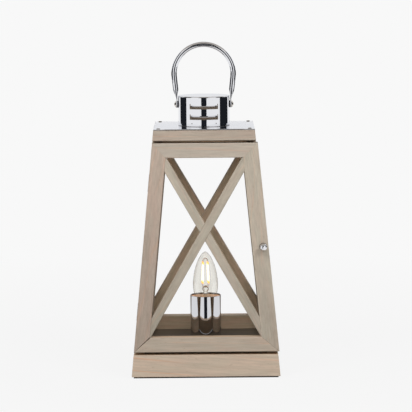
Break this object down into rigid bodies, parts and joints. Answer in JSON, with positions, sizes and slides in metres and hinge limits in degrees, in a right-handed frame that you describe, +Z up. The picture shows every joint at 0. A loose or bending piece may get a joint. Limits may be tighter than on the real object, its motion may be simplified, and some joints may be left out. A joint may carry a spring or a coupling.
{
  "type": "lantern table lamp",
  "caption": "Leaning wooden lantern case with crossed braces and a hinged front, a ventilated metal top with a carrying handle, and a candle bulb in a metal sleeve",
  "frame": {"origin": "middle of the underside, on the face of the felt", "axes": "+Z up, the hinged front faces -Y, +X to the right as seen from the front"},
  "size_m": [0.2016, 0.2029, 0.4506],
  "materials": {
    "washed_wood": "matte grey-washed wood with open brown grain",
    "floor_board": "matte, dark stained board",
    "bottom_board": "plain hardboard, unseen under the felt",
    "felt": "black felt",
    "chrome": "bright polished plating",
    "steel": "zinc-plated",
    "brass": "plain",
    "black_plastic": "satin",
    "holder_plastic": "satin, heat-proof",
    "lead_sleeving": "silicone sleeving",
    "bulb_glass": "clear",
    "filament": "glowing yellow-white coating"
  },
  "bodies": {
    "case": {"back_left_stile": "washed_wood", "back_right_stile": "washed_wood", "back_top_rail": "washed_wood", "back_bottom_rail": "washed_wood", "back_rising_brace": "washed_wood", "back_falling_brace": "washed_wood", "left_rear_stile": "washed_wood", "left_front_stile": "washed_wood", "left_top_rail": "washed_wood", "left_bottom_rail": "washed_wood", "left_rising_brace": "washed_wood", "left_falling_brace": "washed_wood", "right_front_stile": "washed_wood", "right_rear_stile": "washed_wood", "right_top_rail": "washed_wood", "right_bottom_rail": "washed_wood", "right_rising_brace": "washed_wood", "right_falling_brace": "washed_wood", "plinth_front": "washed_wood", "plinth_back": "washed_wood", "plinth_left": "washed_wood", "plinth_right": "washed_wood", "floor_board": "floor_board", "bottom_board": "bottom_board", "base_felt": "felt", "base_screws": "steel", "top_board": "washed_wood", "top_plate": "chrome", "plate_screws": "steel", "chimney": "chrome", "handle_screws": "chrome", "handle_washers": "black_plastic", "handle_nuts": "steel", "hinge_frame_leaves": "steel", "hinge_pins": "steel", "hinge_frame_screws": "steel", "magnet_catch": "black_plastic", "lamp_sleeve": "chrome", "lampholder": "holder_plastic", "lampholder_contacts": "brass", "nipple": "brass", "nipple_nut": "steel", "terminal_block": "holder_plastic", "internal_leads": "lead_sleeving", "cable_bush": "black_plastic"},
    "door": {"door_left_stile": "washed_wood", "door_right_stile": "washed_wood", "door_top_rail": "washed_wood", "door_bottom_rail": "washed_wood", "door_rising_brace": "washed_wood", "door_falling_brace": "washed_wood", "door_knob": "chrome", "knob_screw": "steel", "hinge_door_leaves": "steel", "hinge_door_screws": "steel", "striker_plate": "steel"},
    "handle": {"handle": "chrome"},
    "bulb": {"bulb_glass": "bulb_glass", "bulb_cap": "steel", "bulb_filaments": "filament"}
  },
  "joints": [
    {"name": "door_swing", "type": "hinge", "parent": "case", "child": "door", "pos_m": [-0.08295, -0.06985, 0.175], "axis": [-0.0954, -0.0954, -0.9909], "range_deg": [0, 105]},
    {"name": "handle_swing", "type": "hinge", "parent": "case", "child": "handle", "pos_m": [0, 0, 0.3646], "axis": [1, 0, 0], "range_deg": [-105, 105]},
    {"name": "bulb_lift", "type": "slide", "parent": "case", "child": "bulb", "axis": [0, 0, 1], "range_m": [0, 0.026]}
  ]
}
